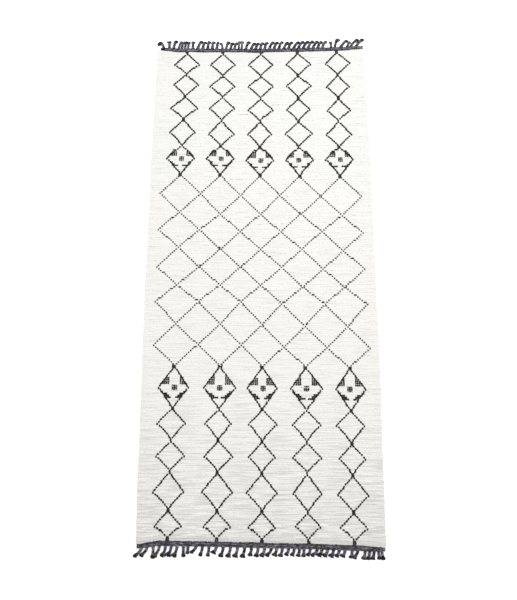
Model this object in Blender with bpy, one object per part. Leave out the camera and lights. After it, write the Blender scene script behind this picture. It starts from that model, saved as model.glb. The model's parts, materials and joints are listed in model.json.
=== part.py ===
"""Hand-knotted wool rug with a diamond field, lying flat.

Three pieces, in metres, +Z up, the underside on Z = 0 and the origin under the middle of the whole
rug. X runs across the rug and Y along it, with the near end at -Y:
rug_pile: the knotted field, one slab with its rows of knots raised in low relief;
end_band_near and end_band_far: the dark twined bands, each with its fringe of tassels.
"""

import math
import random

import bpy
import bmesh

# The knotted field
FIELD_WIDTH = 1.500
FIELD_LENGTH = 3.350
FIELD_BULGE = 0.014  # how far each long side bows out at mid length
SIDE_WAVES = (  # uneven tension along the sides: height, waves in the length, phase left, phase right
    {"height": 0.0022, "waves": 2.6, "left": 0.4, "right": 2.9},
    {"height": 0.0012, "waves": 8.3, "left": 1.7, "right": 0.2},
)
ROW_PITCH = 0.0125
PILE_HEIGHT = 0.0150
ROW_RELIEF = 0.0014  # crest of a row above the furrow between two rows
LUMP_HEIGHT = 0.0009
LUMP_WAVES_ACROSS = 1.7
LUMP_WAVES_ALONG = 4.3
SELVEDGE_HEIGHT = 0.0075
SELVEDGE_WIDTH = 0.012
END_DROP = 0.0035  # the first and last rows lean out and lie lower
END_SLOPE = 0.030
INNER_SHARES = (0.0, 0.08, 0.30, 0.50, 0.70, 0.92, 1.0)  # points across between the selvedges

# How far each end of the field lies off a straight line, read across the rug; + is towards +Y
NEAR_END = (
    {"x": -0.750, "off": -0.004},
    {"x": -0.620, "off": 0.017},
    {"x": -0.295, "off": 0.0125},
    {"x": 0.000, "off": 0.0055},
    {"x": 0.295, "off": 0.000},
    {"x": 0.620, "off": -0.011},
    {"x": 0.750, "off": -0.020},
)
FAR_END = (
    {"x": -0.750, "off": 0.000},
    {"x": -0.620, "off": -0.013},
    {"x": -0.295, "off": -0.016},
    {"x": 0.000, "off": -0.018},
    {"x": 0.295, "off": -0.011},
    {"x": 0.620, "off": -0.002},
    {"x": 0.750, "off": 0.014},
)

# The twined bands
GAP = 0.0003
NEAR_BAND_WIDTH = 0.034
FAR_BAND_WIDTH = 0.035
BAND_END_WIDTH = 0.027  # where a band tapers at the selvedges
BAND_TAPER = 0.110
BAND_HEIGHT = 0.0115
BAND_FURROW = 0.0090
BAND_EDGE = 0.0095
BAND_CORDS = 3

# The tassels, a row for each bunch that lies together. Its roots stand evenly across the rug between
# from and to, lean is how far its middle tip lies to +X of its middle root, close is the share by
# which its tips draw together, reach is its length past the band and tuft its width at the tips.
NEAR_BUNCHES = (
    {"count": 2, "from": -0.719, "to": -0.686, "lean": -0.042, "close": -0.15, "reach": 0.055, "tuft": 0.036},
    {"count": 2, "from": -0.649, "to": -0.611, "lean": -0.016, "close": 0.55, "reach": 0.069, "tuft": 0.022},
    {"count": 3, "from": -0.575, "to": -0.505, "lean": -0.020, "close": 0.00, "reach": 0.064, "tuft": 0.031},
    {"count": 1, "from": -0.467, "to": -0.467, "lean": 0.000, "close": 0.00, "reach": 0.066, "tuft": 0.024},
    {"count": 1, "from": -0.439, "to": -0.439, "lean": -0.005, "close": 0.00, "reach": 0.043, "tuft": 0.021},
    {"count": 1, "from": -0.390, "to": -0.390, "lean": -0.033, "close": 0.00, "reach": 0.040, "tuft": 0.021},
    {"count": 2, "from": -0.352, "to": -0.313, "lean": -0.010, "close": -0.20, "reach": 0.060, "tuft": 0.023},
    {"count": 1, "from": -0.267, "to": -0.267, "lean": -0.022, "close": 0.00, "reach": 0.042, "tuft": 0.030},
    {"count": 4, "from": -0.226, "to": -0.097, "lean": -0.017, "close": 0.00, "reach": 0.059, "tuft": 0.031},
    {"count": 4, "from": -0.056, "to": 0.064, "lean": -0.020, "close": 0.15, "reach": 0.051, "tuft": 0.028},
    {"count": 2, "from": 0.096, "to": 0.130, "lean": -0.015, "close": 0.00, "reach": 0.050, "tuft": 0.029},
    {"count": 2, "from": 0.168, "to": 0.202, "lean": -0.017, "close": 0.00, "reach": 0.043, "tuft": 0.025},
    {"count": 2, "from": 0.233, "to": 0.261, "lean": -0.007, "close": 0.00, "reach": 0.048, "tuft": 0.025},
    {"count": 2, "from": 0.299, "to": 0.341, "lean": -0.027, "close": 0.30, "reach": 0.042, "tuft": 0.023},
    {"count": 5, "from": 0.369, "to": 0.508, "lean": -0.021, "close": -0.05, "reach": 0.043, "tuft": 0.031},
    {"count": 2, "from": 0.550, "to": 0.584, "lean": -0.017, "close": 0.50, "reach": 0.047, "tuft": 0.027},
    {"count": 3, "from": 0.628, "to": 0.682, "lean": -0.010, "close": 0.00, "reach": 0.049, "tuft": 0.028},
    {"count": 2, "from": 0.708, "to": 0.729, "lean": 0.007, "close": 0.00, "reach": 0.049, "tuft": 0.024},
)
FAR_BUNCHES = (
    {"count": 1, "from": -0.711, "to": -0.711, "lean": -0.038, "close": 0.00, "reach": 0.051, "tuft": 0.022},
    {"count": 2, "from": -0.668, "to": -0.637, "lean": 0.005, "close": -0.60, "reach": 0.054, "tuft": 0.028},
    {"count": 4, "from": -0.602, "to": -0.531, "lean": 0.017, "close": 0.20, "reach": 0.054, "tuft": 0.024},
    {"count": 1, "from": -0.496, "to": -0.496, "lean": 0.001, "close": 0.00, "reach": 0.056, "tuft": 0.033},
    {"count": 3, "from": -0.462, "to": -0.388, "lean": 0.018, "close": 0.25, "reach": 0.053, "tuft": 0.024},
    {"count": 2, "from": -0.355, "to": -0.321, "lean": 0.009, "close": 0.05, "reach": 0.054, "tuft": 0.024},
    {"count": 1, "from": -0.279, "to": -0.279, "lean": -0.014, "close": 0.00, "reach": 0.043, "tuft": 0.022},
    {"count": 1, "from": -0.253, "to": -0.253, "lean": 0.016, "close": 0.00, "reach": 0.048, "tuft": 0.033},
    {"count": 2, "from": -0.221, "to": -0.192, "lean": 0.016, "close": 0.00, "reach": 0.044, "tuft": 0.026},
    {"count": 2, "from": -0.161, "to": -0.139, "lean": 0.006, "close": 0.00, "reach": 0.061, "tuft": 0.023},
    {"count": 1, "from": -0.109, "to": -0.109, "lean": 0.021, "close": 0.00, "reach": 0.048, "tuft": 0.033},
    {"count": 4, "from": -0.071, "to": 0.029, "lean": 0.021, "close": 0.10, "reach": 0.044, "tuft": 0.026},
    {"count": 3, "from": 0.062, "to": 0.132, "lean": 0.027, "close": 0.10, "reach": 0.051, "tuft": 0.023},
    {"count": 2, "from": 0.168, "to": 0.203, "lean": 0.026, "close": 0.15, "reach": 0.044, "tuft": 0.026},
    {"count": 5, "from": 0.239, "to": 0.381, "lean": 0.037, "close": 0.00, "reach": 0.049, "tuft": 0.024},
    {"count": 2, "from": 0.417, "to": 0.450, "lean": 0.028, "close": 0.05, "reach": 0.042, "tuft": 0.022},
    {"count": 1, "from": 0.516, "to": 0.516, "lean": -0.004, "close": 0.00, "reach": 0.041, "tuft": 0.020},
    {"count": 1, "from": 0.542, "to": 0.542, "lean": 0.022, "close": 0.00, "reach": 0.057, "tuft": 0.033},
    {"count": 1, "from": 0.584, "to": 0.584, "lean": 0.052, "close": 0.00, "reach": 0.053, "tuft": 0.020},
    {"count": 1, "from": 0.631, "to": 0.631, "lean": 0.026, "close": 0.00, "reach": 0.039, "tuft": 0.016},
    {"count": 2, "from": 0.657, "to": 0.698, "lean": 0.052, "close": 0.10, "reach": 0.054, "tuft": 0.027},
)
LEAN_SPREAD = 0.0015
REACH_SPREAD = 0.0025
ROOT_WIDTH = 0.0135
STEM_WIDTH = 0.0125
TUFT_SHARE = 0.80  # the most of the space between two tips that a tuft fills
HOOK_NEAR = 0.004
HOOK_FAR = 0.010  # the far tips curl over further
HOOK_LEAN = 0.020  # a tassel that leans less than this curls less
TOP_SHARE = 0.62  # a strand's width on top, as a share of its width on the floor
# A strand from its root to its tip: place along it, how much of the tuft's width it has, height
STRAND = (
    {"at": 0.20, "tuft": 0.00, "height": 0.0105},
    {"at": 0.50, "tuft": 0.00, "height": 0.0115},
    {"at": 0.66, "tuft": 0.40, "height": 0.0120},
    {"at": 0.88, "tuft": 0.95, "height": 0.0100},
    {"at": 1.00, "tuft": 0.80, "height": 0.0050},
)


def clear_scene():
    for thing in list(bpy.data.objects):
        bpy.data.objects.remove(thing)


def wool(name, colour, roughness):
    material = bpy.data.materials.new(name)
    material.use_nodes = True
    shader = material.node_tree.nodes["Principled BSDF"]
    shader.inputs["Base Color"].default_value = (*colour, 1.0)
    shader.inputs["Roughness"].default_value = roughness
    shader.inputs["Metallic"].default_value = 0.0
    return material


def solid(name, points, faces, material):
    """One closed body from its points and faces, with the faces turned outwards."""
    mesh = bpy.data.meshes.new(name)
    mesh.from_pydata(points, [], faces)
    shell = bmesh.new()
    shell.from_mesh(mesh)
    bmesh.ops.recalc_face_normals(shell, faces=shell.faces)
    shell.to_mesh(mesh)
    shell.free()
    mesh.materials.append(material)
    piece = bpy.data.objects.new(name, mesh)
    bpy.context.collection.objects.link(piece)
    return piece


def smooth(share):
    return share * share * (3.0 - 2.0 * share)


def end_offset(table, x):
    """The offset of an end at x, eased from one row of its table to the next."""
    if x <= table[0]["x"]:
        return table[0]["off"]
    for low, high in zip(table, table[1:]):
        if x <= high["x"]:
            share = smooth((x - low["x"]) / (high["x"] - low["x"]))
            return low["off"] + (high["off"] - low["off"]) * share
    return table[-1]["off"]


def row_y(x, along):
    """Y of the row that lies at the share along of the length; the ends' bends die out inwards."""
    near = end_offset(NEAR_END, x) * (1.0 - along) ** 2
    far = end_offset(FAR_END, x) * along**2
    return (along - 0.5) * FIELD_LENGTH + near + far


def half_width(along, side):
    """Half of the field's width at the share along of its length, on the side 'left' or 'right'."""
    reach = FIELD_WIDTH / 2 + FIELD_BULGE * (1.0 - (2.0 * along - 1.0) ** 2)
    ease = 4.0 * along * (1.0 - along)
    for wave in SIDE_WAVES:
        turn = 2.0 * math.pi * wave["waves"] * along + wave[side]
        reach += wave["height"] * ease * math.sin(turn)
    return reach


def pile_top(x, along, crest):
    """Height of the pile, with broad lumps, a furrow between two rows and lower rows at both ends."""
    lump_across = math.sin(2.0 * math.pi * LUMP_WAVES_ACROSS * x / FIELD_WIDTH + 1.0)
    lump_along = math.sin(2.0 * math.pi * LUMP_WAVES_ALONG * along)
    lump = LUMP_HEIGHT * lump_across * lump_along
    from_end = min(along, 1.0 - along) * FIELD_LENGTH
    drop = END_DROP * (1.0 - smooth(min(1.0, from_end / END_SLOPE)))
    return PILE_HEIGHT + lump - drop - (0.0 if crest else ROW_RELIEF)


def field_columns(along):
    """The places across the field where a line of it has a point, from left to right."""
    left = -half_width(along, "left")
    right = half_width(along, "right")
    inner_left = left + SELVEDGE_WIDTH
    inner_right = right - SELVEDGE_WIDTH
    inner = [inner_left + (inner_right - inner_left) * share for share in INNER_SHARES]
    return [left, *inner, right]


def end_line(x, along):
    """Y at x on a line of the field, straight between the points that the field has there."""
    places = field_columns(along)
    for low, high in zip(places, places[1:]):
        if x <= high:
            break
    share = (x - low) / (high - low)
    return row_y(low, along) + (row_y(high, along) - row_y(low, along)) * share


def make_field():
    """Lines of points across the field, on each furrow and each crest of its rows of knots."""
    rows = round(FIELD_LENGTH / ROW_PITCH)
    lines = 2 * rows + 1
    columns = len(INNER_SHARES) + 2
    points = []
    for line in range(lines):
        along = line / (lines - 1)
        crest = line % 2 == 1
        for column, x in enumerate(field_columns(along)):
            on_selvedge = column in (0, columns - 1)
            z = SELVEDGE_HEIGHT if on_selvedge else pile_top(x, along, crest)
            points.append((x, row_y(x, along), z))
    # The underside has every point of the two end lines, and the outer two of each line between
    under = []
    for line in range(lines):
        at_end = line in (0, lines - 1)
        chosen = range(columns) if at_end else (0, columns - 1)
        under.append([])
        for column in chosen:
            x, y, _ = points[line * columns + column]
            under[line].append(len(points))
            points.append((x, y, 0.0))
    faces = []
    for line in range(lines - 1):
        here, there = line * columns, (line + 1) * columns
        last = columns - 1
        for column in range(last):
            faces.append((here + column, here + column + 1, there + column + 1, there + column))
        faces.append((here, there, under[line + 1][0], under[line][0]))
        faces.append((here + last, there + last, under[line + 1][-1], under[line][-1]))
        faces.append((*under[line], *reversed(under[line + 1])))
    for line in (0, lines - 1):
        top = line * columns
        for column in range(columns - 1):
            low = under[line][column : column + 2]
            faces.append((top + column, top + column + 1, low[1], low[0]))
    return points, faces


def band_profile():
    """A band's section: share of its width from the field, and height, up over its cords and down."""
    section = [(0.0, 0.0), (0.0, BAND_FURROW)]
    for cord in range(BAND_CORDS):
        section.append(((cord + 0.5) / BAND_CORDS, BAND_HEIGHT))
        if cord < BAND_CORDS - 1:
            section.append(((cord + 1) / BAND_CORDS, BAND_FURROW))
    section.append((1.0, BAND_EDGE))
    section.append((1.0, 0.0))
    return section


def band_width(x, full):
    """The band's width at x: full along the middle and narrower where it ends."""
    to_end = max(0.0, FIELD_WIDTH / 2 - abs(x))
    share = smooth(min(1.0, to_end / BAND_TAPER))
    return BAND_END_WIDTH + (full - BAND_END_WIDTH) * share


def place_tassels(bunches, rng):
    """Root, tip, reach and tuft of each tassel, from left to right."""
    tassels = []
    for bunch in bunches:
        middle = (bunch["from"] + bunch["to"]) / 2
        gaps = max(1, bunch["count"] - 1)
        for number in range(bunch["count"]):
            root = bunch["from"] + (bunch["to"] - bunch["from"]) * number / gaps
            lean = bunch["lean"] + rng.uniform(-LEAN_SPREAD, LEAN_SPREAD)
            tip = middle + lean + (root - middle) * (1.0 - bunch["close"])
            reach = bunch["reach"] + rng.uniform(-REACH_SPREAD, REACH_SPREAD)
            tassels.append({"root": root, "tip": tip, "reach": reach, "tuft": bunch["tuft"]})
    return tassels


def tuft_width(tassels, number):
    """A tuft keeps clear of the tips beside it, and is never thinner than its stem."""
    tassel = tassels[number]
    beside = tassels[max(0, number - 1) : number] + tassels[number + 1 : number + 2]
    room = min(abs(tassel["tip"] - other["tip"]) for other in beside)
    return min(tassel["tuft"], max(STEM_WIDTH, TUFT_SHARE * room))


def bezier(points, share):
    """Place and direction on a cubic curve."""
    rest = 1.0 - share
    place = [
        rest**3 * a + 3 * rest**2 * share * b + 3 * rest * share**2 * c + share**3 * d
        for a, b, c, d in zip(*points)
    ]
    heading = [
        rest**2 * (b - a) + 2 * rest * share * (c - b) + share**2 * (d - c)
        for a, b, c, d in zip(*points)
    ]
    length = math.hypot(*heading)
    return place, [part / length for part in heading]


def strand_sections(tassel, tuft, edge, outward, hook):
    """The four-sided sections of a strand past its root, each with its base on the floor."""
    root, tip, reach = tassel["root"], tassel["tip"], tassel["reach"]
    lean = tip - root
    curl = math.copysign(hook * min(1.0, abs(lean) / HOOK_LEAN), lean)
    route = (
        (root, edge),
        (root, edge + outward * 0.45 * reach),
        (tip - curl, edge + outward * 0.70 * reach),
        (tip, edge + outward * reach),
    )
    sections = []
    for step in STRAND:
        (x, y), (along_x, along_y) = bezier(route, step["at"])
        width = STEM_WIDTH + (tuft - STEM_WIDTH) * step["tuft"]
        # Across the strand, pointing to +X at both ends of the rug
        across_x, across_y = along_y * outward, -along_x * outward
        low, high = width / 2, width / 2 * TOP_SHARE
        sections.append(
            [
                (x - across_x * low, y - across_y * low, 0.0),
                (x + across_x * low, y + across_y * low, 0.0),
                (x + across_x * high, y + across_y * high, step["height"]),
                (x - across_x * high, y - across_y * high, step["height"]),
            ]
        )
    return sections


def make_band(along, outward, full_width, bunches, hook, seed):
    """A band beside the end of the field at the share along, with a strand out of each root cell."""
    tassels = place_tassels(bunches, random.Random(seed))
    left = -half_width(along, "left")
    right = half_width(along, "right")
    # Where the band has a section, and whether a strand leaves the cell to its right
    cuts = [(left, False), (right, False)]
    for tassel in tassels:
        cuts += [(tassel["root"] - ROOT_WIDTH / 2, True), (tassel["root"] + ROOT_WIDTH / 2, False)]
    for x in field_columns(along)[1:-1]:
        if all(abs(x - tassel["root"]) > ROOT_WIDTH / 2 for tassel in tassels):
            cuts.append((x, False))
    cuts.sort()

    section = band_profile()
    size = len(section)
    points = []
    for x, _ in cuts:
        inner_edge = end_line(x, along) + outward * GAP
        width = band_width(x, full_width)
        points += [(x, inner_edge + outward * share * width, z) for share, z in section]

    faces = [tuple(range(size)), tuple((len(cuts) - 1) * size + step for step in range(size))]
    number = 0
    for cell in range(len(cuts) - 1):
        here, there = cell * size, (cell + 1) * size
        holds_root = cuts[cell][1]
        for step in range(size):
            after = (step + 1) % size
            outer_wall = step == size - 2
            if not (holds_root and outer_wall):
                faces.append((here + step, here + after, there + after, there + step))
        if holds_root:
            tuft = tuft_width(tassels, number)
            edge = (points[here + size - 1][1] + points[there + size - 1][1]) / 2
            ring = [here + size - 1, there + size - 1, there + size - 2, here + size - 2]
            for corners in strand_sections(tassels[number], tuft, edge, outward, hook):
                start = len(points)
                points += corners
                new_ring = [start, start + 1, start + 2, start + 3]
                for side in range(4):
                    after = (side + 1) % 4
                    faces.append((ring[side], ring[after], new_ring[after], new_ring[side]))
                ring = new_ring
            faces.append(tuple(ring))
            number += 1
    return points, faces


def centred(shapes):
    """The same shapes, moved so that their whole box is centred on the origin in X and Y."""
    everything = [point for points, _ in shapes.values() for point in points]
    middle = [(min(p[k] for p in everything) + max(p[k] for p in everything)) / 2 for k in (0, 1)]
    return {
        name: ([(x - middle[0], y - middle[1], z) for x, y, z in points], faces)
        for name, (points, faces) in shapes.items()
    }


def main():
    clear_scene()
    ivory = wool("ivory_wool", (0.80, 0.78, 0.73), 0.95)
    charcoal = wool("charcoal_wool", (0.060, 0.052, 0.075), 0.92)
    shapes = {
        "rug_pile": make_field(),
        "end_band_near": make_band(0.0, -1.0, NEAR_BAND_WIDTH, NEAR_BUNCHES, HOOK_NEAR, seed=11),
        "end_band_far": make_band(1.0, 1.0, FAR_BAND_WIDTH, FAR_BUNCHES, HOOK_FAR, seed=23),
    }
    finishes = {"rug_pile": ivory, "end_band_near": charcoal, "end_band_far": charcoal}
    for name, (points, faces) in centred(shapes).items():
        solid(name, points, faces, finishes[name])


main()
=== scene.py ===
import json
import math
import random

import bpy
import numpy as np
from mathutils import Matrix, Vector

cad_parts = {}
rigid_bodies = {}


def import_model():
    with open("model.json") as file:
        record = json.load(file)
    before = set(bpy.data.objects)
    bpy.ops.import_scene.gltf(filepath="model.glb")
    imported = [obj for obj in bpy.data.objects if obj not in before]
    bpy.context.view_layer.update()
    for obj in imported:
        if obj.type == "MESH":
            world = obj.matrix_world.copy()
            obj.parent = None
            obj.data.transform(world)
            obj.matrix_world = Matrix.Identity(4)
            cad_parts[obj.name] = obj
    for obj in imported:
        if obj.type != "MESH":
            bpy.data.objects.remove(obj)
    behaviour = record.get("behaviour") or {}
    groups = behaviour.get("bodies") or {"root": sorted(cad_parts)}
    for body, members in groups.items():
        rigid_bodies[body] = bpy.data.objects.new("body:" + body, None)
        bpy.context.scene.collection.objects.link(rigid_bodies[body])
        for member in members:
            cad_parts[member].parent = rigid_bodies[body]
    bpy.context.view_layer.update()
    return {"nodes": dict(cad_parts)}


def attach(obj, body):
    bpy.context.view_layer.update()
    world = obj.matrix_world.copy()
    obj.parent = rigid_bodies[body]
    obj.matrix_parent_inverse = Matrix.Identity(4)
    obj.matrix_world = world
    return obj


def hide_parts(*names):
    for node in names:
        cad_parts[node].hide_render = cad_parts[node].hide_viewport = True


# A long hand-knotted wool rug lying flat: ivory pile with a dark diamond chart, twined dark bands
# and short tassels. X runs across the rug, Y along it, the near end is at -Y. Metres throughout.

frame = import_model()
print("frame loaded")


def readOutline():
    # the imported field's underside has a point at each line of its sides and along its two ends
    underHeight = 0.0005
    endHalf = 0.744  # how far from the middle the points of an end reach
    points = np.array([v.co for v in frame["nodes"]["rug_pile"].data.vertices])
    under = points[points[:, 2] < underHeight]
    across = under[:, 0] - (under[:, 0].min() + under[:, 0].max()) / 2.0
    lines = {}
    for name, side in (("left", under[across < -endHalf]), ("right", under[across > endHalf])):
        lines[name] = side[np.argsort(side[:, 1])]
    inner = under[np.abs(across) <= endHalf]
    for name, pick, corner in (("near", inner[:, 1] < 0.0, 0), ("far", inner[:, 1] > 0.0, -1)):
        line = np.vstack([inner[pick], lines["left"][corner], lines["right"][corner]])
        lines[name] = line[np.argsort(line[:, 0])]
    return lines


outline = readOutline()
nearMean = float(outline["near"][:, 1].mean())
farMean = float(outline["far"][:, 1].mean())
fieldLength = farMean - nearMean
middleX = float(outline["left"][0][0] + outline["right"][0][0]) / 2.0


def endY(end, x):
    return np.interp(x, outline[end][:, 0], outline[end][:, 1])


def sideX(side, y):
    return np.interp(y, outline[side][:, 1], outline[side][:, 0])


def fieldPoint(across, along):
    # across runs from -1 to 1 and along from 0 to 1; the bends of the ends die out inwards
    across = np.asarray(across, float)
    along = np.asarray(along, float)
    level = nearMean + fieldLength * along
    y = level
    for _ in range(2):
        left = sideX("left", y)
        right = sideX("right", y)
        x = left + (right - left) * (across + 1.0) / 2.0
        nearBend = (endY("near", x) - nearMean) * (1.0 - along) ** 2
        farBend = (endY("far", x) - farMean) * along ** 2
        y = level + nearBend + farBend
    return x, y


def eased(share):
    return share * share * (3.0 - 2.0 * share)


def addObject(name, data):
    thing = bpy.data.objects.new(name, data)
    bpy.context.scene.collection.objects.link(thing)
    return thing


def meshObject(name, points, faces, material=None):
    mesh = bpy.data.meshes.new(name)
    mesh.from_pydata([tuple(p) for p in points], [], faces)
    mesh.update()
    if material is not None:
        mesh.materials.append(material)
    return addObject(name, mesh)


def circle(sides, shift=0.0):
    turns = [2.0 * math.pi * (side + shift) / sides for side in range(sides)]
    return [(math.cos(turn), math.sin(turn)) for turn in turns]


def shareSteps(count):
    return [step / (count - 1) for step in range(count)]


def ringFaces(rings, size):
    # the faces along a row of rings of points, closed at both ends
    faces = []
    for low in range(0, (rings - 1) * size, size):
        for step in range(size):
            after = (step + 1) % size
            faces.append((low + step, low + after, low + size + after, low + size + step))
    faces.append(tuple(reversed(range(size))))
    faces.append(tuple(range((rings - 1) * size, rings * size)))
    return faces


def smoothOver(piece, sharpAngle):
    piece.data.shade_smooth()
    piece.data.set_sharp_from_angle(angle=math.radians(sharpAngle))


def planMap(piece):
    # a map seen from above, on which a pattern keeps its place
    margin = 0.002
    mesh = piece.data
    spots = np.zeros(len(mesh.vertices) * 3, np.float32)
    mesh.vertices.foreach_get("co", spots)
    spots = spots.reshape(-1, 3)
    low = spots.min(0)
    size = spots.max(0) - low
    corners = np.zeros(len(mesh.loops), np.int32)
    mesh.loops.foreach_get("vertex_index", corners)
    flat = ((spots - low) / size)[corners][:, :2] * (1.0 - 2.0 * margin) + margin
    for layer in list(mesh.uv_layers):
        mesh.uv_layers.remove(layer)
    layer = mesh.uv_layers.new(name="OFBake")
    layer.data.foreach_set("uv", flat.astype(np.float32).ravel())


def runTree(piece, name, tree, values):
    # the tree's result on a piece as a plain mesh in a new object, and the old one goes
    modifier = piece.modifiers.new(tree.name, "NODES")
    modifier.node_group = tree
    for item in tree.interface.items_tree:
        if item.item_type == "SOCKET" and item.in_out == "INPUT" and item.name in values:
            modifier[item.identifier] = values[item.name]
    graph = bpy.context.evaluated_depsgraph_get()
    mesh = bpy.data.meshes.new_from_object(piece.evaluated_get(graph))
    mesh.name = name
    old = piece.data
    bpy.data.objects.remove(piece)
    if isinstance(old, bpy.types.Mesh):
        bpy.data.meshes.remove(old)
    made = addObject(name, mesh)
    planMap(made)
    return made


class Tree:
    # short names for adding nodes to a tree
    def __init__(self, tree):
        self.tree = tree

    def feed(self, socket, value):
        # the value is a constant or another node's output
        if isinstance(value, bpy.types.NodeSocket):
            self.tree.links.new(value, socket)
        else:
            socket.default_value = (*value, 1.0) if socket.type == "RGBA" else value

    def node(self, kind, inputs=None, out=None, **settings):
        # gives the output of that name, or else the first one
        node = self.tree.nodes.new(kind)
        for name, value in settings.items():
            setattr(node, name, value)
        for name, value in (inputs or {}).items():
            self.feed(next(s for s in node.inputs if s.enabled and s.name == name), value)
        return next((s for s in node.outputs if s.enabled and out in (None, s.name)), None)

    def math(self, operation, a, b=0.0):
        node = self.tree.nodes.new("ShaderNodeMath")
        node.operation = operation
        self.feed(node.inputs[0], a)
        self.feed(node.inputs[1], b)
        return node.outputs[0]

    def plus(self, a, b):
        return self.math("ADD", a, b)

    def times(self, a, b):
        return self.math("MULTIPLY", a, b)


def openTree(name, inputs):
    group = bpy.data.node_groups.new(name, "GeometryNodeTree")
    for label, kind, value in (("Geometry", "Geometry", None), *inputs):
        socket = group.interface.new_socket(name=label, in_out="INPUT", socket_type="NodeSocket" + kind)
        if value is not None:
            socket.default_value = value
    group.interface.new_socket(name="Geometry", in_out="OUTPUT", socket_type="NodeSocketGeometry")
    return Tree(group), group.nodes.new("NodeGroupInput").outputs


def closeTree(tree, geometry, finish):
    real = tree.node("GeometryNodeRealizeInstances", {"Geometry": geometry})
    done = tree.node("GeometryNodeSetMaterial", {"Geometry": real, "Material": finish})
    tree.node("NodeGroupOutput", {"Geometry": done})
    return tree.tree


def buildScatterTree():
    # stands one of several shapes on each point, turned and sized by the point's own values
    tree, given = openTree("scatterShapes", (
        ("Shapes", "Collection", None),
        ("Shape Count", "Int", 1),
        ("Size Spread", "Float", 0.1),
        ("Height Spread", "Float", 0.1),
        ("Turn Spread", "Float", 0.2),
        ("Tilt Spread", "Float", 0.1),
        ("Seed", "Int", 1),
        ("Finish", "Material", None),
    ))

    def own(name):
        return tree.node("GeometryNodeInputNamedAttribute", {"Name": name}, data_type="FLOAT")

    def drawn(low, high, shift):
        values = {"Min": low, "Max": high, "Seed": tree.plus(given["Seed"], shift)}
        return tree.node("FunctionNodeRandomValue", values, data_type="FLOAT")

    def around(spread, shift):
        return drawn(tree.times(given[spread], -1.0), given[spread], shift)

    shapes = tree.node("GeometryNodeCollectionInfo", {
        "Collection": given["Shapes"],
        "Separate Children": True,
        "Reset Children": True,
    })
    turn = tree.node("ShaderNodeCombineXYZ", {
        "X": around("Tilt Spread", 1),
        "Y": around("Tilt Spread", 2),
        "Z": tree.plus(own("heading"), around("Turn Spread", 3)),
    })
    flat = tree.times(own("size"), tree.plus(around("Size Spread", 4), 1.0))
    tall = tree.times(own("height"), tree.plus(around("Height Spread", 5), 1.0))
    stand = tree.node("GeometryNodeInstanceOnPoints", {
        "Points": given["Geometry"],
        "Instance": shapes,
        "Pick Instance": True,
        "Instance Index": tree.math("FLOOR", tree.times(drawn(0.0, 0.9999, 6), given["Shape Count"])),
        "Rotation": tree.node("FunctionNodeEulerToRotation", {"Euler": turn}),
        "Scale": tree.node("ShaderNodeCombineXYZ", {"X": flat, "Y": flat, "Z": tall}),
    })
    toned = {"Geometry": stand, "Name": "tone", "Value": drawn(0.0, 1.0, 7)}
    tone = tree.node("GeometryNodeStoreNamedAttribute", toned, data_type="FLOAT", domain="INSTANCE")
    return closeTree(tree, tone, given["Finish"])


def buildYarnTree():
    # sweeps a round yarn along each curve, as thick as the curve's radius says
    tree, given = openTree("sweepYarn", (
        ("Sides", "Int", 6),
        ("Thickness", "Float", 0.003),
        ("Finish", "Material", None),
    ))
    ring = tree.node("GeometryNodeCurvePrimitiveCircle", {
        "Resolution": given["Sides"],
        "Radius": tree.times(given["Thickness"], 0.5),
    })
    sweep = tree.node("GeometryNodeCurveToMesh", {
        "Curve": given["Geometry"],
        "Profile Curve": ring,
        "Scale": tree.node("GeometryNodeInputRadius"),
        "Fill Caps": True,
    })
    smooth = tree.node("GeometryNodeSetShadeSmooth", {"Geometry": sweep})
    return closeTree(tree, smooth, given["Finish"])


scatterTree = buildScatterTree()
yarnTree = buildYarnTree()


def scatter(name, points, values, shapes, look, seed, material):
    # the points' values are their heading, size, height and, on the bands, shade
    spots = meshObject(name + "Spots", points, [])
    for label, numbers in values.items():
        layer = spots.data.attributes.new(label, "FLOAT", "POINT")
        layer.data.foreach_set("value", np.asarray(numbers, np.float32))
    inputs = {"Shapes": shapes, "Shape Count": len(shapes.objects), "Seed": seed, "Finish": material}
    for label, spread in look["spreads"].items():
        inputs[label + " Spread"] = spread
    piece = runTree(spots, name, scatterTree, inputs)
    piece.data.shade_smooth()
    return piece


def sweepRoutes(name, routes, sides, thickness, material):
    # each route is a list of (point, radius) pairs
    curve = bpy.data.curves.new(name + "Routes", "CURVE")
    curve.dimensions = "3D"
    for route in routes:
        spline = curve.splines.new("POLY")
        spline.points.add(len(route) - 1)
        for spot, (place, radius) in zip(spline.points, route):
            spot.co = (*place, 1.0)
            spot.radius = radius
    values = {"Sides": sides, "Thickness": thickness, "Finish": material}
    return runTree(addObject(name + "Routes", curve), name, yarnTree, values)


def joinPieces(name, pieces):
    bpy.ops.object.select_all(action="DESELECT")
    for piece in pieces:
        piece.select_set(True)
    bpy.context.view_layer.objects.active = pieces[0]
    bpy.ops.object.join()
    pieces[0].name = name
    pieces[0].data.name = name
    planMap(pieces[0])
    return pieces[0]


def shapeGroup(name, count, makeShape):
    # the variants of one shape, out of the scene and ready for the scatter tree
    group = bpy.data.collections.new(name)
    for variant in range(count):
        shape = makeShape(f"{name}{variant}")
        smoothOver(shape, 55.0)
        bpy.context.scene.collection.objects.unlink(shape)
        group.objects.link(shape)
    return group


def dropShapes(group):
    for thing in list(group.objects):
        mesh = thing.data
        bpy.data.objects.remove(thing)
        bpy.data.meshes.remove(mesh)
    bpy.data.collections.remove(group)


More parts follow.
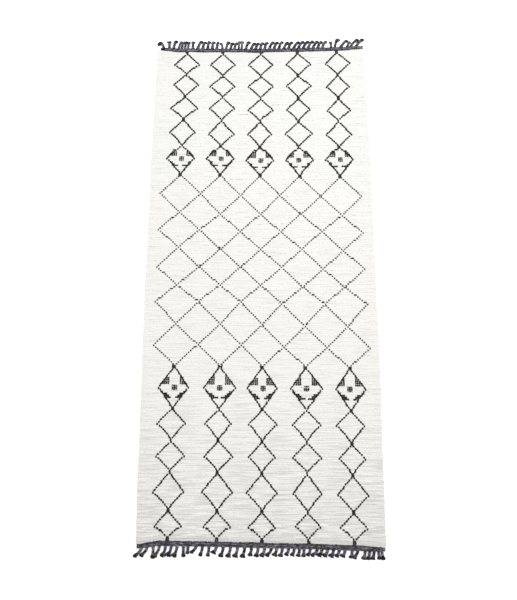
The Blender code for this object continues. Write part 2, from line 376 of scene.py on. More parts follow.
class Painter(Tree):
    # short names for the shader nodes that the finishes share
    def __init__(self, name, shine=0.15, sheen=(0.0, 0.5)):
        self.material = bpy.data.materials.new(name)
        self.material.use_nodes = True
        super().__init__(self.material.node_tree)
        self.place = self.node("ShaderNodeTexCoord", out="Object")
        self.give("Specular IOR Level", shine)
        self.give("Sheen Weight", sheen[0])
        self.give("Sheen Roughness", sheen[1])

    def give(self, name, value):
        self.feed(self.tree.nodes["Principled BSDF"].inputs[name], value)

    def noise(self, scale, stretch=(1.0, 1.0, 1.0), detail=2.0):
        place = self.node("ShaderNodeMapping", {"Vector": self.place, "Scale": stretch})
        return self.node("ShaderNodeTexNoise", {"Vector": place, "Scale": scale, "Detail": detail})

    def spread(self, value, low, high, newLow=0.0, newHigh=1.0):
        ends = {"From Min": low, "From Max": high, "To Min": newLow, "To Max": newHigh}
        return self.node("ShaderNodeMapRange", {"Value": value, **ends})

    def blend(self, share, first, second):
        return self.node("ShaderNodeMix", {"Factor": share, "A": first, "B": second}, data_type="RGBA")

    def own(self, name):
        return self.node("ShaderNodeAttribute", out="Fac", attribute_name=name)

    def axis(self, letter):
        return self.node("ShaderNodeSeparateXYZ", {"Vector": self.place}, out=letter)

    def finish(self, colour, grain, rough, strength, distance, relief=None):
        # the grain of the fibres shows in the roughness, and in the bump unless that has a relief
        self.give("Base Color", colour)
        self.give("Roughness", self.spread(grain, 0.2, 0.8, *rough))
        height = grain if relief is None else relief
        values = {"Strength": strength, "Distance": distance, "Height": height}
        self.give("Normal", self.node("ShaderNodeBump", values))
        return self.material


woolLook = {
    "ivoryFar": (0.450, 0.452, 0.441),
    "ivoryNear": (0.570, 0.559, 0.533),
    "ivoryWarm": (0.530, 0.503, 0.448),
    "ivoryGrey": (0.350, 0.348, 0.340),
    "patchShare": 0.24,
    "streakStretch": (5.0, 112.0, 1.0),  # several knots long and about a row wide
    "streakEdges": (0.50, 0.60),
    "streakShare": (0.60, 0.24),  # partly painted shadow lines between the rows, at the near end and from the reach on
    "streakReach": 0.35,
    "knotShare": 0.07,
    # the heights over which painted shade darkens the pile between its rows
    "furrowShadeHeights": (0.0150, 0.0125),
    "furrowShadeShare": (0.50, 0.12),  # painted shade between the rows, at the near end and from the reach on
    "furrowShadeReach": 0.20,
    "threads": (("X", 420.0), ("Y", 520.0)),  # of the ground cloth, to the metre
    "lockGrain": (350.0, (1.0, 0.3, 1.0), 3.0),  # scale, stretch and detail of its fibres
    "darkKnot": (0.007, 0.0068, 0.0066),
    "darkKnotWorn": (0.024, 0.0235, 0.0225),
    "bandDark": (0.006, 0.0054, 0.007),
    "bandGreyAndHighlight": (0.245, 0.231, 0.250),
    "bandViolet": (0.052, 0.042, 0.096),
    "bandBlackAndShade": (0.003, 0.0028, 0.0034),
    "bandShadeHeights": (0.0095, 0.0060),  # the heights over which painted shade darkens it between the cords
    # painted shade: how much darker the tufts' yarn is made, where their loops fold under
    "tuftShade": 0.15,
}


def ivoryWool(name):
    # undyed wool: each row was spun and tied at another time, so rows differ in short dashes of tone, which
    # are also painted shadow lines between the rows, strongest at the near end; painted shade also darkens
    # the low parts between the rows
    look = woolLook
    paint = Painter(name, sheen=(0.12, 0.6))
    along = paint.spread(paint.axis("Y"), nearMean, farMean)
    patches = paint.spread(paint.noise(1.7, detail=1.0), 0.45, 0.70)
    # short dashes of row tone, partly painted shadow lines between the rows
    toneAndShadingStreaks = paint.spread(paint.noise(1.0, look["streakStretch"], 1.0), *look["streakEdges"])
    # painted shade: the low parts of the pile, between the rows, are darkened
    furrowShade = paint.spread(paint.axis("Z"), *look["furrowShadeHeights"])
    ground = paint.blend(along, look["ivoryNear"], look["ivoryFar"])
    for share, weight, tint in (
        (patches, look["patchShare"], "ivoryWarm"),
        (toneAndShadingStreaks, paint.spread(along, 0.0, look["streakReach"], *look["streakShare"]), "ivoryGrey"),
        (paint.own("tone"), look["knotShare"], "ivoryGrey"),
        (furrowShade, paint.spread(along, 0.0, look["furrowShadeReach"], *look["furrowShadeShare"]), "ivoryGrey"),
    ):
        ground = paint.blend(paint.times(share, weight), ground, look[tint])
    return paint.finish(ground, paint.noise(*look["lockGrain"]), (0.86, 0.98), 0.4, 0.0012)


def wovenIvory(name):
    # the ground cloth under the knots: plain weave of wool warp and weft
    paint = Painter(name)
    threads = []
    for axis, count in woolLook["threads"]:
        wave = paint.math("SINE", paint.times(paint.axis(axis), count * 2.0 * math.pi))
        threads.append(paint.spread(wave, -1.0, 1.0))
    weave = paint.times(*threads)
    colour = paint.blend(paint.spread(weave, 0.0, 0.6), woolLook["ivoryWarm"], woolLook["ivoryNear"])
    yarn = paint.noise(700.0, detail=3.0)
    relief = paint.plus(weave, paint.times(yarn, 0.5))
    return paint.finish(colour, yarn, (0.88, 0.98), 0.5, 0.0012, relief)


def knotWool(name):
    # near-black natural wool, a little worn and brown at some tips
    paint = Painter(name)
    worn = paint.spread(paint.noise(240.0), 0.45, 0.75)
    share = paint.plus(paint.times(worn, 0.4), paint.times(paint.own("tone"), 0.6))
    colour = paint.blend(share, woolLook["darkKnot"], woolLook["darkKnotWorn"])
    return paint.finish(colour, paint.noise(*woolLook["lockGrain"]), (0.82, 0.97), 0.4, 0.0012)


def bandWool(name, shade):
    # charcoal yarn whose dye took unevenly, violet in places and grey in others, the grey partly painted
    # highlights along the cords, and painted shade between the cords
    look = woolLook
    paint = Painter(name, sheen=(0.05, 0.5))
    violet = paint.spread(paint.noise(13.0), 0.46, 0.62)
    # grey dashes along the cords, partly uneven dye and partly painted highlights on the cords
    toneAndShadingStreaks = paint.spread(paint.noise(30.0, (1.0, 6.0, 1.0), 1.0), 0.47, 0.57)
    stitch = paint.spread(paint.own("tone"), 0.30, 0.75)
    grey = paint.plus(paint.times(toneAndShadingStreaks, 0.52), paint.times(stitch, 0.48))
    base = paint.blend(grey, look["bandDark"], look["bandGreyAndHighlight"])
    base = paint.blend(paint.times(violet, 0.50), base, look["bandViolet"])
    base = paint.blend(paint.plus(paint.own("shade"), shade), base, look["bandBlackAndShade"])
    # painted shade: the low parts between the cords are darkened
    furrowShade = paint.spread(paint.axis("Z"), *look["bandShadeHeights"], 0.0, 0.9)
    colour = paint.blend(furrowShade, base, look["bandBlackAndShade"])
    return paint.finish(colour, paint.noise(1300.0, detail=3.0), (0.78, 0.95), 0.45, 0.0007)


ivory = ivoryWool("ivoryPile")
groundCloth = wovenIvory("groundCloth")
darkKnots = knotWool("darkKnots")
charcoal = bandWool("charcoalYarn", 0.0)
# the tufts' yarn is painted darker, as shade where their loops fold under
tuftCharcoal = bandWool("tuftYarn", woolLook["tuftShade"])
print("finishes ready")


clothLook = {
    "top": 0.0048,
    "lines": 269,
    "stripsAcross": 40,
    # the rolled long edges: distance in from the edge, height
    "edge": ((0.0014, 0.0), (0.0002, 0.0024), (0.0010, 0.0052), (0.0040, 0.0068), (0.0085, 0.0062),
             (0.0115, 0.0050)),
}


def makeCloth():
    look = clothLook
    points = []
    for along in shareSteps(look["lines"]):
        leftX, leftY = fieldPoint(-1.0, along)
        rightX, rightY = fieldPoint(1.0, along)
        points += [(leftX + inset, leftY, height) for inset, height in look["edge"]]
        for strip in range(1, look["stripsAcross"]):
            x, y = fieldPoint(2.0 * strip / look["stripsAcross"] - 1.0, along)
            points.append((x, y, look["top"]))
        points += [(rightX - inset, rightY, height) for inset, height in reversed(look["edge"])]
    faces = ringFaces(look["lines"], len(points) // look["lines"])
    piece = meshObject("groundCloth", points, faces, groundCloth)
    planMap(piece)
    smoothOver(piece, 50.0)
    return piece


cloth = makeCloth()
print("ground cloth woven")


selvedgeLook = {
    "wraps": 536,  # along each long side
    "thickness": 0.0032,
    "width": 0.0064,
    "sides": 5,
    "variants": 4,
    "wobble": (0.94, 1.06),
    # the way of one wrap round the edge: distance outwards from it, height, share of its thickness
    "wrap": ((-0.0100, 0.0058, 0.5), (-0.0055, 0.0078, 1.0), (-0.0012, 0.0068, 1.0), (0.0006, 0.0042, 1.0),
             (-0.0006, 0.0018, 0.8)),
    "spreads": {"Size": 0.06, "Height": 0.05, "Turn": 0.12, "Tilt": 0.03},
    "seed": 47,
}


def wrapShape(name, rng):
    look = selvedgeLook
    route = look["wrap"]
    points = []
    for number, (out, high, share) in enumerate(route):
        before, after = route[max(0, number - 1)], route[min(len(route) - 1, number + 1)]
        alongX, alongZ = after[0] - before[0], after[1] - before[1]
        length = math.hypot(alongX, alongZ)
        for cosine, sine in circle(look["sides"]):
            lift = sine * look["thickness"] / 2.0 * share
            aside = cosine * look["width"] / 2.0 * share * rng.uniform(*look["wobble"])
            points.append((out - alongZ / length * lift, aside, high + alongX / length * lift))
    return meshObject(name, points, ringFaces(len(route), look["sides"]))


def makeSelvedges():
    # the warps at the long sides are wrapped with ivory yarn, a wrap on each row and one between
    look = selvedgeLook
    rng = random.Random(look["seed"])
    group = shapeGroup("wrap", look["variants"], lambda name: wrapShape(name, rng))
    points = []
    heading = []
    for across, turn in ((-1.0, math.pi), (1.0, 0.0)):
        for number in range(look["wraps"]):
            x, y = fieldPoint(across, (number + 0.5) / look["wraps"])
            points.append((float(x), float(y), 0.0))
            heading.append(turn)
    ones = np.ones(len(points))
    values = {"heading": heading, "size": ones, "height": ones}
    piece = scatter("selvedgeYarn", points, values, group, look, look["seed"], ivory)
    dropShapes(group)
    return piece


selvedges = makeSelvedges()
print("selvedges wrapped")


def tableRows(names, rows):
    # a row may leave out its last values
    return [dict(zip(names, row)) for row in rows]


chartLook = {
    "rows": 268,
    "across": 121,
    # by the share of the length: the knot in the middle of the middle column, the knots from one
    # column to the next, and the rows by which a point lies higher than the one to its left
    "centre": ((0.0, 60.5), (0.35, 60.7), (0.55, 60.0), (0.65, 59.5), (0.78, 59.5), (0.92, 60.2),
               (1.0, 60.0)),
    "pitch": ((0.0, 22.6), (0.5, 22.0), (1.0, 21.8)),
    "slant": ((0.0, 0.12), (0.3, -0.07), (0.7, -0.38), (0.9, -0.36), (1.0, 0.0)),
    # how far each column strays at the near end, in the middle and at the far end
    "stray": ((-1.0, 0.0, 0.4), (0.5, 0.6, -0.3), (0.0, 0.0, 0.0), (0.0, 0.0, -0.3), (0.0, 0.0, 1.0)),
    "pointRows": 0.3,
    "pointReach": 0.25,
    "curve": 1.06,  # the lines of a diamond are steeper at its points than at its corners
    "neckRows": 0.5,
    "leanRows": 0.4,  # above and below a knot, to find how its line leans
    "pointSpread": 0.3,
    "widthSpread": 0.3,
    "seed": 5,
    # from the near end: what is tied, its rows below and above its widest place, and how far it
    # reaches to either side
    "units": tableRows(("kind", "lower", "upper", "reach"), (
        ("neck", 0.5, 0.5, 0.5),
        ("diamond", 6.0, 7.0, 6.5),
        ("diamond", 8.5, 9.5, 7.0),
        ("diamond", 7.5, 7.5, 6.8),
        ("diamond", 8.5, 7.5, 6.8),
        ("nearEye", 10.5, 11.0, 7.6),
        ("lattice", 10.5, 11.0, 11.0),
        ("lattice", 11.5, 9.5, 11.0),
        ("lattice", 10.0, 10.5, 11.0),
        ("lattice", 10.0, 10.0, 11.0),
        ("lattice", 11.0, 11.5, 11.0),
        ("farEye", 9.8, 7.7, 7.6),
        ("diamond", 8.0, 8.0, 6.9),
        ("diamond", 7.0, 7.5, 7.0),
        ("diamond", 7.5, 7.0, 7.0),
        ("diamond", 7.0, 7.5, 6.8),
        ("neck", 0.5, 0.5, 0.5),
    )),
    # the two eyes are lozenges with filled corners: how far the line lies from the middle, by rows
    # from the lower point
    "nearEye": ((0.0, 0.25), (10.5, 7.6), (20.3, 0.5), (21.5, 0.5)),
    "farEye": ((0.0, 0.5), (1.0, 0.5), (9.8, 7.6), (14.3, 4.1), (15.4, 2.2), (16.4, 1.0), (17.5, 0.25)),
    # the size of the knots in the columns, by the share of the length, and in the lattice
    "heavy": ((0.0, 1.0), (0.4, 1.0), (0.75, 1.12), (1.0, 1.16)),
    "light": 0.72,
    "crossed": 1.15,  # of a knot in which two lines of a column cross
    # the shares of that size in a waist two knots wide, and where a line moves on by two in a row
    "waist": 0.88,
    "waistReach": 0.8,
    "doubled": 0.95,
}

# what fills an eye, by rows above its widest row, and the size of those knots: the knots from a
# first one to the line, a number of knots just inside the line, or the dot's knot by the middle
eyeFills = {
    "nearEye": (
        ("first", 1.6, 5.6, 2.8, 0.82),
        ("inside", -2.4, -1.4, 1, 0.82),
        ("inside", -4.6, -2.4, 2, 1.0),
        ("first", -5.6, -4.6, 1.4, 1.0),
        ("dot", -1.5, 1.5, 0.0, 0.92),
        ("dot", -0.5, 0.5, 1.0, 0.88),
        ("dot", -1.5, 1.5, 1.0, 0.50),
    ),
    "farEye": (
        ("first", 1.6, 5.6, 3.0, 0.82),
        ("inside", -3.5, -1.5, 1, 0.82),
        ("first", -4.5, -3.5, 1.4, 1.0),
        ("dot", -1.5, 1.5, 0.0, 0.92),
        ("dot", -0.5, 0.5, 1.0, 0.82),
        ("dot", -1.5, 1.5, 1.0, 0.45),
    ),
}


def alongChart(name, share):
    shares, values = zip(*chartLook[name])
    return float(np.interp(share, shares, values))


def nearest(place):
    return int(math.floor(place + 0.5))


def columnMiddle(column, share):
    # the knot in the middle of a column, numbered from the middle one; past the last it strays alike
    half = len(chartLook["stray"]) // 2
    stray = chartLook["stray"][half + max(-half, min(half, column))]
    shift = float(np.interp(share, (0.0, 0.5, 1.0), stray))
    return alongChart("centre", share) + column * alongChart("pitch", share) + shift


def lineOffset(unit, step, reach):
    # how far the two lines of a unit lie from its middle, step rows above its lower point
    kind = unit["kind"]
    if kind == "neck":
        return unit["reach"]
    if kind in eyeFills:
        return alongChart(kind, step) * reach / unit["reach"]
    point = 0.0 if kind == "lattice" else chartLook["pointRows"]
    if step < unit["lower"]:
        share = (step - point) / (unit["lower"] - point)
    else:
        share = (unit["lower"] + unit["upper"] - step - point) / (unit["upper"] - point)
    if kind == "lattice":
        return max(0.0, reach * share)
    return max(chartLook["pointReach"], reach * max(0.0, share) ** chartLook["curve"])


def eyeKnots(unit, step, middle, side, lineKnot):
    # the knots that fill one side of an eye on one row, with their sizes
    filled = []
    for fill, low, high, place, size in eyeFills[unit["kind"]]:
        if low <= step - unit["lower"] < high:
            if fill == "first":
                knots = range(nearest(middle + side * place), lineKnot, side)
            elif fill == "inside":
                knots = [lineKnot - side * inside for inside in range(1, place + 1)]
            else:
                knots = [nearest(middle + side * place)]
            filled += [(knot, size) for knot in knots]
    return filled


def columnPoints(column, rng):
    # the rows at which a column's units meet, with the weaver's unevenness
    units = chartLook["units"]
    meets = [0.0]
    counted = 0.0
    for number, unit in enumerate(units):
        counted += unit["lower"] + unit["upper"]
        shift = alongChart("slant", counted / chartLook["rows"]) * column
        later = units[min(number + 1, len(units) - 1)]
        if unit["kind"] == "diamond" and later["kind"] == "diamond":
            shift += rng.uniform(-chartLook["pointSpread"], chartLook["pointSpread"])
        meet = counted + shift
        # two lines of the lattice cross in one knot
        meets.append(math.floor(meet) + 0.5 if unit["kind"] == later["kind"] == "lattice" else meet)
    return meets


def cornerRow(meets, column, side, number):
    # the row of a unit's side corner, which a lozenge of the lattice shares with its neighbour
    unit = chartLook["units"][number]
    share = unit["lower"] / (unit["lower"] + unit["upper"])
    found = []
    for other in (column, column + side):
        if other == column or (other in meets and unit["kind"] == "lattice"):
            start, end = meets[other][number:number + 2]
            found.append(start + (end - start) * share)
    return math.floor(sum(found) / len(found)) + 0.5


def tieChart():
    # each knot's kind, 0 ivory, 1 in a line and 2 in a filled place, its size, its turn and how far
    # its line passes beside it
    look = chartLook
    rng = random.Random(look["seed"])
    rows, across, units = look["rows"], look["across"], look["units"]
    kind = np.zeros((rows, across), int)
    size, turn, beside = np.zeros((3, rows, across))

    def mark(row, place, newKind, weight, heading):
        knot = nearest(place)
        if 0 <= knot < across and (newKind == 1 or kind[row, knot] == 0):
            crossed = kind[row, knot] == 1
            kind[row, knot] = newKind
            # a knot in which two lines cross stands straight in its cell, larger in the columns
            if crossed and weight > look["light"]:
                weight = look["crossed"]
            size[row, knot] = max(size[row, knot], weight)
            turn[row, knot] = 0.0 if crossed else heading
            beside[row, knot] = 0.0 if crossed else place - knot

    half = len(look["stray"]) // 2
    meets = {column: columnPoints(column, rng) for column in range(-half, half + 1)}
    for column in meets:
        spread = look["widthSpread"]
        extra = [rng.uniform(-spread, spread) if u["kind"] == "diamond" else 0.0 for u in units]
        before = {}
        for row in range(rows):
            here = row + 0.5
            number = max(0, min(len(units) - 1, int(np.searchsorted(meets[column], here)) - 1))
            unit = units[number]
            start, end = meets[column][number:number + 2]
            share = here / rows
            middle = columnMiddle(column, share)
            lattice = unit["kind"] == "lattice"
            heavy = alongChart("heavy", share)
            for side in (-1, 1):
                corner = cornerRow(meets, column, side, number)
                steps = (0.0, unit["lower"], unit["lower"] + unit["upper"])
                step = float(np.interp(here, (start, corner, end), steps))
                if lattice:
                    reach = abs(columnMiddle(column + side, share) - middle) / 2.0
                else:
                    # one knot makes the corner
                    cornerMiddle = columnMiddle(column, corner / rows)
                    cornerKnot = nearest(cornerMiddle + side * (unit["reach"] + extra[number]))
                    reach = abs(cornerKnot - cornerMiddle)
                offset = lineOffset(unit, step, reach)
                weight = heavy * (look["waist"] if offset < look["waistReach"] else 1.0)
                if lattice:
                    weight = look["light"]
                over, under = [lineOffset(unit, step + way * look["leanRows"], reach) for way in (1, -1)]
                lean = -side * math.atan((over - under) / (2.0 * look["leanRows"]))
                place = middle + side * offset
                mark(row, place, 1, weight, lean)
                last = before.get(side, place)
                if abs(nearest(last) - nearest(place)) > 1:
                    mark(row, (last + place) / 2.0, 1, weight * look["doubled"], lean)
                before[side] = place
                if unit["kind"] in eyeFills:
                    for knot, fillSize in eyeKnots(unit, step, middle, side, nearest(place)):
                        mark(row, knot, 2, fillSize, 0.0)
                # a neck, two knots wide, joins an eye and the lattice
                for meet, below in ((start, number - 1), (end, number)):
                    kinds = {units[max(0, below)]["kind"], units[min(below + 1, len(units) - 1)]["kind"]}
                    if len(kinds) == 2 and "lattice" in kinds and abs(here - meet) < look["neckRows"]:
                        mark(row, nearest(middle + side * 0.5), 1, heavy * look["waist"], 0.0)
    return kind, size, turn, beside


knotKinds, knotSizes, knotTurns, knotsBeside = tieChart()
print("chart tied:", int((knotKinds > 0).sum()), "dark knots of", knotKinds.size)


pileLook = {
    "root": 0.0030,
    "height": 0.0122,
    "lean": 0.0060,
    "leanPower": 1.5,
    "ivory": {"width": 0.0222, "depth": 0.0200, "sides": 5, "rings": ((0.0, 0.85), (0.82, 1.0))},
    "line": {"width": 0.0124, "depth": 0.0178, "sides": 6, "rings": ((0.0, 0.6), (0.5, 0.95), (0.88, 0.9))},
    "fill": {"width": 0.0136, "depth": 0.0126, "sides": 6, "rings": ((0.0, 0.6), (0.5, 0.95), (0.88, 0.9))},
    "darkLift": 1.17,
    "pitch": 0.0124,
    "lineShare": 0.7,  # how far a knot of a line is drawn to where the line passes
    "wobble": 0.12,
    "tallWobble": 0.08,
    "tipNudge": 0.0015,
    "variants": 7,
    "spreads": {"Size": 0.06, "Height": 0.035, "Turn": 0.18, "Tilt": 0.05},
    "nudgeAcross": 0.0018,  # of ivory knots; dark ones keep to their cells
    "nudgeDark": 0.0006,
    "nudgeAlong": 0.0008,
    "rowNudge": 0.0008,  # slow drift of a row to and fro
    "rowHeight": (0.12, 0.05),  # slow rise and fall of a row, at the near end and from the reach on
    "rowReach": 0.2,
    "rowSpan": 9,
    "endDrop": 0.29,  # the first and last rows lean out and lie lower
    "endSlope": 0.030,
    "blocks": 4,
    "seed": 31,
}


def tuftShape(name, rng, kind):
    # one lock of cut wool: narrow at its knot, widest below its tip and leaning to the near end
    look = pileLook
    lock = look[kind]
    sides = lock["sides"]
    points = []
    faces = []
    for number, (share, girth) in enumerate(lock["rings"]):
        for cosine, sine in circle(sides, 0.5 * (number % 2)):
            wobble = 1.0 + rng.uniform(-look["wobble"], look["wobble"]) * share
            back = look["lean"] * share ** look["leanPower"]
            x = cosine * lock["width"] / 2.0 * girth * wobble
            y = sine * lock["depth"] / 2.0 * girth * wobble - back
            tall = 1.0 + rng.uniform(-look["tallWobble"], look["tallWobble"]) * share
            points.append((x, y, look["height"] * share * tall))
    for number in range(len(lock["rings"]) - 1):
        low, high = number * sides, (number + 1) * sides
        for side in range(sides):
            # each ring is turned by half a side against the last one
            after = (side + 1) % sides
            lowEnd, highEnd = (side, after) if number % 2 else (after, side)
            faces.append((low + side, low + after, high + highEnd))
            faces.append((low + lowEnd, high + after, high + side))
    top = len(points) - sides
    tip = len(points)
    points.append((rng.uniform(-look["tipNudge"], look["tipNudge"]), -look["lean"], look["height"]))
    faces.append(tuple(reversed(range(sides))))
    for side in range(sides):
        faces.append((top + side, top + (side + 1) % sides, tip))
    return meshObject(name, points, faces)


def slowDrift(rng, rows, across, span):
    # uneven hands: values that change slowly along a row and freely from row to row
    weights = np.hanning(span + 2)[1:-1]
    weights = weights / np.sqrt((weights ** 2).sum())
    raw = rng.normal(size=(rows, across + span - 1))
    return np.array([np.convolve(line, weights, "valid") for line in raw])


def makePile():
    look = pileLook
    rng = np.random.default_rng(look["seed"])
    rows, across = knotKinds.shape
    nudge = rng.uniform(-1.0, 1.0, (2, rows, across))
    nudge[0] *= np.where(knotKinds == 0, look["nudgeAcross"], look["nudgeDark"])
    nudge[1] *= look["nudgeAlong"]
    nudge[1] += slowDrift(rng, rows, across, look["rowSpan"]) * look["rowNudge"]
    rise = np.interp(np.arange(rows) / rows, (0.0, look["rowReach"]), look["rowHeight"])[:, None]
    lift = 1.0 + np.clip(slowDrift(rng, rows, across, look["rowSpan"]) * 0.5, -1.0, 1.0) * rise
    shapeRng = random.Random(look["seed"])

    def tie(name, chosen, kind, seed, material):
        # stands the wool of the chosen knots, in rows
        row, knot = np.nonzero(chosen)
        along = (row + 0.5) / rows
        x, y = fieldPoint(2.0 * (knot + 0.5) / across - 1.0, along)
        x = x + nudge[0, row, knot] + knotsBeside[row, knot] * look["pitch"] * look["lineShare"]
        y = y + nudge[1, row, knot] + look["lean"] * 0.5
        fromEnd = np.minimum(1.0, np.minimum(along, 1.0 - along) * fieldLength / look["endSlope"])
        height = lift[row, knot] * (1.0 - look["endDrop"] * (1.0 - eased(fromEnd)))
        dark = kind != "ivory"
        values = {
            "heading": knotTurns[row, knot],
            "size": knotSizes[row, knot] if dark else np.ones(len(x)),
            "height": height * (look["darkLift"] if dark else 1.0),
        }
        points = np.stack([x, y, np.full(len(x), look["root"])], 1)
        shapes = shapeGroup(kind + "Tuft", look["variants"], lambda label: tuftShape(label, shapeRng, kind))
        piece = scatter(name, points, values, shapes, look, seed, material)
        dropShapes(shapes)
        return piece

    pieces = []
    for number in range(look["blocks"]):
        block = np.arange(rows)[:, None] * look["blocks"] // rows == number
        chosen = block & (knotKinds == 0)
        pieces.append(tie(f"ivoryPile{number + 1}", chosen, "ivory", look["seed"] + number, ivory))
    lines = tie("chartLines", knotKinds == 1, "line", look["seed"] + 50, darkKnots)
    fills = tie("chartFills", knotKinds == 2, "fill", look["seed"] + 60, darkKnots)
    return pieces, joinPieces("chartKnots", [lines, fills])


pilePieces, chartKnots = makePile()
print("pile tied")


bandLook = {
    "width": {"near": 0.034, "far": 0.035},
    "endWidth": 0.027,
    "taper": 0.110,
    "halfField": 0.750,
    "cords": 3,
    "crest": 0.0085,
    "furrow": 0.0055,
    "outerEdge": 0.0065,
    "lines": 150,
    "stitchPitch": 0.0092,
    "stitchLength": 0.0140,
    "stitchWidth": 0.0066,
    "stitchHeight": 0.0056,
    "stitchTurn": 0.58,
    "stitchLift": 0.0072,
    # one stitch: the share of its length from its middle, and of its girth
    "stitchRings": ((-0.5, 0.22), (-0.28, 0.80), (0.02, 1.0), (0.30, 0.78), (0.5, 0.20)),
    "stitchSides": 6,
    "stitchWobble": 0.08,
    "variants": 5,
    "stitchInset": 0.004,
    "stitchStagger": 0.3,
    "cordPinch": 0.045,  # how far the two rows of stitches of a cord draw together
    # how dark each row of stitches is made, from the field outwards
    "shades": {"near": (0.85, 0.15, 0.45, 0.0, 0.35, 0.45), "far": (0.92, 0.50, 0.10, 0.0, 0.0, 0.0)},
    "inset": {"near": 0.0, "far": 0.018},  # of its left end from the field's corner
    "darkEnd": {"near": 0, "far": 3},  # the stitches at its left end that are dyed darkest
    "spreads": {"Size": 0.08, "Height": 0.12, "Turn": 0.12, "Tilt": 0.10},
    "seed": 61,
}


def bandPlace(end, x, share):
    # Y at the share of the band's width at x, counted outwards from the field
    outward = -1.0 if end == "near" else 1.0
    fromSide = bandLook["halfField"] - abs(x - middleX)
    ease = eased(min(1.0, max(0.0, fromSide) / bandLook["taper"]))
    width = bandLook["endWidth"] + (bandLook["width"][end] - bandLook["endWidth"]) * ease
    return float(endY(end, x)) + outward * width * share


def stitchShape(name, rng):
    # one visible turn of a twined yarn, swelling in the middle, along X
    look = bandLook
    points = []
    for place, girth in look["stitchRings"]:
        for cosine, sine in circle(look["stitchSides"]):
            swell = girth * (1.0 + rng.uniform(-look["stitchWobble"], look["stitchWobble"]))
            aside = cosine * look["stitchWidth"] / 2.0 * swell
            lift = sine * look["stitchHeight"] / 2.0 * swell
            points.append((place * look["stitchLength"], aside, lift))
    return meshObject(name, points, ringFaces(len(look["stitchRings"]), look["stitchSides"]))


def makeBandStrip(end, leftX, rightX):
    # the strip that carries the stitches, ridged like them
    look = bandLook
    section = [(0.0, 0.0), (0.0, look["furrow"])]
    for cord in range(look["cords"]):
        section.append(((cord + 0.5) / look["cords"], look["crest"]))
        if cord < look["cords"] - 1:
            section.append(((cord + 1) / look["cords"], look["furrow"]))
    section += [(1.0, look["outerEdge"]), (1.0, 0.0)]
    gap = 0.01  # between the field and the strip, as a share of its width
    points = []
    for line in range(look["lines"] + 1):
        x = leftX + (rightX - leftX) * line / look["lines"]
        points += [(x, bandPlace(end, x, gap + (1.0 - gap) * share), z) for share, z in section]
    faces = ringFaces(look["lines"] + 1, len(section))
    if end == "far":
        faces = [tuple(reversed(face)) for face in faces]
    strip = meshObject(end + "Strip", points, faces, charcoal)
    smoothOver(strip, 60.0)
    return strip


def makeBand(end, shapes, seed):
    look = bandLook
    corner = 0 if end == "near" else -1
    leftX = float(outline["left"][corner][0]) + look["inset"][end]
    rightX = float(outline["right"][corner][0])
    rows = look["cords"] * 2
    count = int((rightX - leftX - 2.0 * look["stitchInset"]) / look["stitchPitch"])
    probe = 0.01  # to each side of a stitch, to find which way the band runs there
    points = []
    heading = []
    shade = []
    for row in range(rows):
        odd = row % 2
        share = (row + 0.5) / rows + look["cordPinch"] * (-1.0 if odd else 1.0)
        for number in range(count):
            place = number + 0.5 + look["stitchStagger"] * odd
            x = leftX + look["stitchInset"] + look["stitchPitch"] * place
            ahead = bandPlace(end, x + probe, share) - bandPlace(end, x - probe, share)
            points.append((x, bandPlace(end, x, share), look["stitchLift"]))
            heading.append(math.atan2(ahead, 2.0 * probe) + look["stitchTurn"] * (1.0 if odd else -1.0))
            shade.append(1.0 if number < look["darkEnd"][end] else look["shades"][end][row])
    ones = np.ones(len(points))
    values = {"heading": heading, "size": ones, "height": ones, "shade": shade}
    stitches = scatter(end + "Stitches", points, values, shapes, look, seed, charcoal)
    return joinPieces(end + "Band", [makeBandStrip(end, leftX, rightX), stitches])


stitchRng = random.Random(bandLook["seed"])
stitches = shapeGroup("stitch", bandLook["variants"], lambda name: stitchShape(name, stitchRng))
bands = {
    "near": makeBand("near", stitches, bandLook["seed"]),
    "far": makeBand("far", stitches, bandLook["seed"] + 9),
}
dropShapes(stitches)
print("bands twined")


tasselLook = {
    "rootInset": 0.006,
    "plies": 3,
    "plyThickness": 0.0090,
    "plySides": 6,
    "plyOrbit": {"near": 0.0050, "far": 0.0052},
    "plyFlat": 0.75,  # the stem is lower than wide
    "rootSpread": {"near": 0.25, "far": 0.8},  # by how much its plies may lie wider at the root
    "rootTight": -0.2,
    "rootShare": 0.85,  # of the way to the next root
    "plyTurns": 1.7,
    "plyPoints": 13,
    "plyWaist": 0.15,
    "stemShare": {"near": 0.52, "far": 0.62},
    "knotTurns": 1.6,
    "knotRadius": 0.0060,
    "knotYarn": 0.0038,
    "knotPitch": 1.8,
    "knotPoints": 14,
    "knotBack": 0.02,
    "yarns": 24,
    "yarnThickness": 0.0043,
    "yarnSides": 5,
    "yarnPoints": 6,
    "yarnStray": 0.12,
    "yarnLengths": (-0.10, 0.04),
    "yarnThinning": 0.30,
    "yarnWave": 0.0010,
    "stemWidth": 0.0155,
    "tuftShare": 1.30,
    "tuftBack": 0.04,
    "tuftNeck": 0.0050,
    "tuftHeight": 0.0105,
    "tuftFall": 0.0050,
    "roundLength": 0.14,  # how much shorter and lower the outer yarns of a tuft are
    "roundHeight": 0.35,
    "tuftGrowth": {"near": 1.27, "far": 1.50},
    "tuftFan": {"near": 1.25, "far": 1.60},
    # the places of the pulls and the tip as shares of the reach, and the first pull's share of the
    # lean; the far stems that lean to +X slant at once, and their tips hook over
    "route": {"near": (0.45, 0.70, 1.00), "far": (0.60, 1.34, 0.74)},
    "slant": {"near": 0.0, "far": 0.42},
    "hook": {"near": 0.004, "far": 0.006},
    "hookLean": 0.020,
    "together": 0.4,
    "leanSpread": 0.0015,
    "reachSpread": 0.0025,
    "seed": {"near": 11, "far": 23},
}

